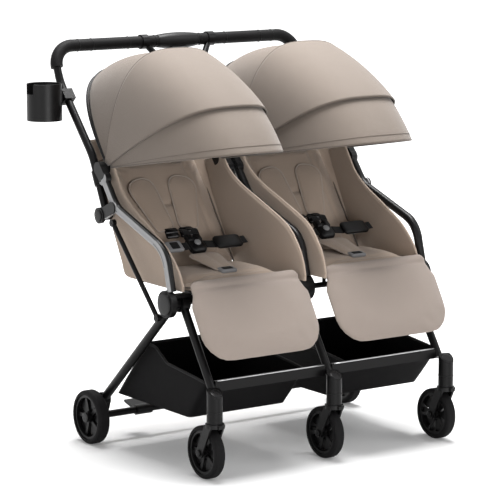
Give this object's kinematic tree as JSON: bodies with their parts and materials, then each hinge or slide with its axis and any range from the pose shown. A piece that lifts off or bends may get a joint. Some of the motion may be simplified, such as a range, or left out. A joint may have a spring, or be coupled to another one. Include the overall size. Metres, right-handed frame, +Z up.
{
  "type": "side by side double stroller",
  "caption": "Side by side folding stroller with padded seats, canopies, footrests, baskets, swivel casters, spoked rear wheels, a push bar and a clamped cup holder.",
  "frame": {"origin": "on the floor under the middle of the frame, midway between the front and the rear axle", "axes": "+Z up, the seats face -Y, +X to the right of someone who faces the stroller"},
  "size_m": [0.891, 0.7402, 0.9991],
  "materials": {
    "frame": "satin black coat",
    "satin_frame": "satin gunmetal coat",
    "plastic": "fine grain",
    "grey_plastic": "fine grain",
    "grip": "soft foam",
    "tyre": "matt",
    "rim": "fine grain",
    "fabric": "plain weave",
    "pad_fabric": "plain weave",
    "basket_fabric": "plain weave",
    "webbing": "ribbed webbing"
  },
  "bodies": {
    "chassis": {"left_outer_tube": "satin_frame", "right_outer_tube": "satin_frame", "middle_tubes": "satin_frame", "hubs": "plastic", "left_front_leg": "frame", "middle_front_leg": "frame", "right_front_leg": "frame", "front_bars": "frame", "seat_frame": "frame", "left_seat": "fabric", "right_seat": "fabric", "left_side_panels": "fabric", "right_side_panels": "fabric", "left_basket": "basket_fabric", "right_basket": "basket_fabric", "left_canopy_rear": "fabric", "right_canopy_rear": "fabric", "left_harness_straps": "webbing", "right_harness_straps": "webbing", "left_buckle": "plastic", "right_buckle": "plastic"},
    "handle": {"left_handle_tube": "frame", "right_handle_tube": "frame", "handle_brace": "frame", "left_grip": "grip", "right_grip": "grip", "fold_housing": "plastic", "cup_holder": "plastic"},
    "fold_button": {"fold_button": "grey_plastic"},
    "rear_frame": {"left_rear_leg": "frame", "right_rear_leg": "frame", "rear_cross_tube": "frame"},
    "brake_pedal": {"brake_pedal": "grey_plastic"},
    "left_rear_wheel": {"left_rear_rim": "rim", "left_rear_tyre": "tyre"},
    "left_fold_strut": {"left_fold_strut": "frame"},
    "right_rear_wheel": {"right_rear_rim": "rim", "right_rear_tyre": "tyre"},
    "right_fold_strut": {"right_fold_strut": "frame"},
    "left_canopy_visor": {"left_canopy_visor": "fabric"},
    "left_canopy_main": {"left_canopy_main": "fabric"},
    "left_back": {"left_backrest": "fabric", "left_shoulder_pads": "pad_fabric"},
    "left_footrest": {"left_footrest": "pad_fabric"},
    "left_buckle_button": {"left_buckle_button": "grey_plastic"},
    "right_canopy_visor": {"right_canopy_visor": "fabric"},
    "right_canopy_main": {"right_canopy_main": "fabric"},
    "right_back": {"right_backrest": "fabric", "right_shoulder_pads": "pad_fabric"},
    "right_footrest": {"right_footrest": "pad_fabric"},
    "right_buckle_button": {"right_buckle_button": "grey_plastic"},
    "left_caster": {"left_caster_fork": "plastic"},
    "left_front_wheel": {"left_front_rim": "rim", "left_front_tyre": "tyre"},
    "middle_caster": {"middle_caster_fork": "plastic"},
    "middle_front_wheel": {"middle_front_rim": "rim", "middle_front_tyre": "tyre"},
    "right_caster": {"right_caster_fork": "plastic"},
    "right_front_wheel": {"right_front_rim": "rim", "right_front_tyre": "tyre"}
  },
  "joints": [
    {"name": "handle_fold", "type": "hinge", "parent": "chassis", "child": "handle", "pos_m": [0, 0.17716, 0.58307], "axis": [-1, 0, 0], "range_deg": [0, 130]},
    {"name": "fold_button_press", "type": "slide", "parent": "handle", "child": "fold_button", "axis": [0, 0.3732, 0.9277], "range_m": [0, 0.005], "stiffness_N_per_m": 600},
    {"name": "rear_fold", "type": "hinge", "parent": "chassis", "child": "rear_frame", "pos_m": [0, -0.114, 0.406], "axis": [-1, 0, 0], "range_deg": [0, 50]},
    {"name": "brake_press", "type": "hinge", "parent": "rear_frame", "child": "brake_pedal", "pos_m": [-0.24156, 0.225, 0.068], "axis": [-1, 0, 0], "range_deg": [0, 25]},
    {"name": "left_rear_roll", "type": "hinge", "parent": "rear_frame", "child": "left_rear_wheel", "pos_m": [-0.395, 0.225, 0.068], "axis": [1, 0, 0], "continuous": true},
    {"name": "left_strut_fold", "type": "hinge", "parent": "rear_frame", "child": "left_fold_strut", "pos_m": [-0.385, -0.06949, 0.36576], "axis": [-1, 0, 0], "range_deg": [-47, 0]},
    {"name": "right_rear_roll", "type": "hinge", "parent": "rear_frame", "child": "right_rear_wheel", "pos_m": [0.395, 0.225, 0.068], "axis": [1, 0, 0], "continuous": true},
    {"name": "right_strut_fold", "type": "hinge", "parent": "rear_frame", "child": "right_fold_strut", "pos_m": [0.385, -0.06949, 0.36576], "axis": [-1, 0, 0], "range_deg": [-47, 0]},
    {"name": "left_visor_fold", "type": "hinge", "parent": "chassis", "child": "left_canopy_visor", "pos_m": [-0.197, 0.19578, 0.69655], "axis": [-1, 0, 0], "range_deg": [0, 87]},
    {"name": "left_main_fold", "type": "hinge", "parent": "chassis", "child": "left_canopy_main", "pos_m": [-0.197, 0.19578, 0.69655], "axis": [-1, 0, 0], "range_deg": [0, 53.1]},
    {"name": "left_recline", "type": "hinge", "parent": "chassis", "child": "left_back", "pos_m": [-0.197, 0.09848, 0.42775], "axis": [1, 0, 0], "range_deg": [-35, 0]},
    {"name": "left_footrest_raise", "type": "hinge", "parent": "chassis", "child": "left_footrest", "pos_m": [-0.197, -0.1533, 0.446], "axis": [-1, 0, 0], "range_deg": [0, 60]},
    {"name": "left_buckle_press", "type": "slide", "parent": "chassis", "child": "left_buckle_button", "axis": [0, 0.5878, -0.809], "range_m": [0, 0.003], "stiffness_N_per_m": 500},
    {"name": "right_visor_fold", "type": "hinge", "parent": "chassis", "child": "right_canopy_visor", "pos_m": [0.197, 0.19578, 0.69655], "axis": [-1, 0, 0], "range_deg": [0, 87]},
    {"name": "right_main_fold", "type": "hinge", "parent": "chassis", "child": "right_canopy_main", "pos_m": [0.197, 0.19578, 0.69655], "axis": [-1, 0, 0], "range_deg": [0, 53.1]},
    {"name": "right_recline", "type": "hinge", "parent": "chassis", "child": "right_back", "pos_m": [0.197, 0.09848, 0.42775], "axis": [1, 0, 0], "range_deg": [-35, 0]},
    {"name": "right_footrest_raise", "type": "hinge", "parent": "chassis", "child": "right_footrest", "pos_m": [0.197, -0.1533, 0.446], "axis": [-1, 0, 0], "range_deg": [0, 60]},
    {"name": "right_buckle_press", "type": "slide", "parent": "chassis", "child": "right_buckle_button", "axis": [0, 0.5878, -0.809], "range_m": [0, 0.003], "stiffness_N_per_m": 500},
    {"name": "left_swivel", "type": "hinge", "parent": "chassis", "child": "left_caster", "pos_m": [-0.35, -0.261, 0.064], "axis": [0, 0, 1], "continuous": true},
    {"name": "left_front_roll", "type": "hinge", "parent": "left_caster", "child": "left_front_wheel", "pos_m": [-0.35, -0.225, 0.064], "axis": [1, 0, 0], "continuous": true},
    {"name": "middle_swivel", "type": "hinge", "parent": "chassis", "child": "middle_caster", "pos_m": [0, -0.261, 0.064], "axis": [0, 0, 1], "continuous": true},
    {"name": "middle_front_roll", "type": "hinge", "parent": "middle_caster", "child": "middle_front_wheel", "pos_m": [0, -0.225, 0.064], "axis": [1, 0, 0], "continuous": true},
    {"name": "right_swivel", "type": "hinge", "parent": "chassis", "child": "right_caster", "pos_m": [0.35, -0.261, 0.064], "axis": [0, 0, 1], "continuous": true},
    {"name": "right_front_roll", "type": "hinge", "parent": "right_caster", "child": "right_front_wheel", "pos_m": [0.35, -0.225, 0.064], "axis": [1, 0, 0], "continuous": true}
  ],
  "couplings": [
    {"joint": "rear_fold", "follows": "handle_fold", "ratio": 0.38461},
    {"joint": "left_strut_fold", "follows": "handle_fold", "ratio": -0.36},
    {"joint": "right_strut_fold", "follows": "handle_fold", "ratio": -0.36},
    {"joint": "left_main_fold", "follows": "left_visor_fold", "ratio": 0.6092},
    {"joint": "right_main_fold", "follows": "right_visor_fold", "ratio": 0.6092}
  ]
}
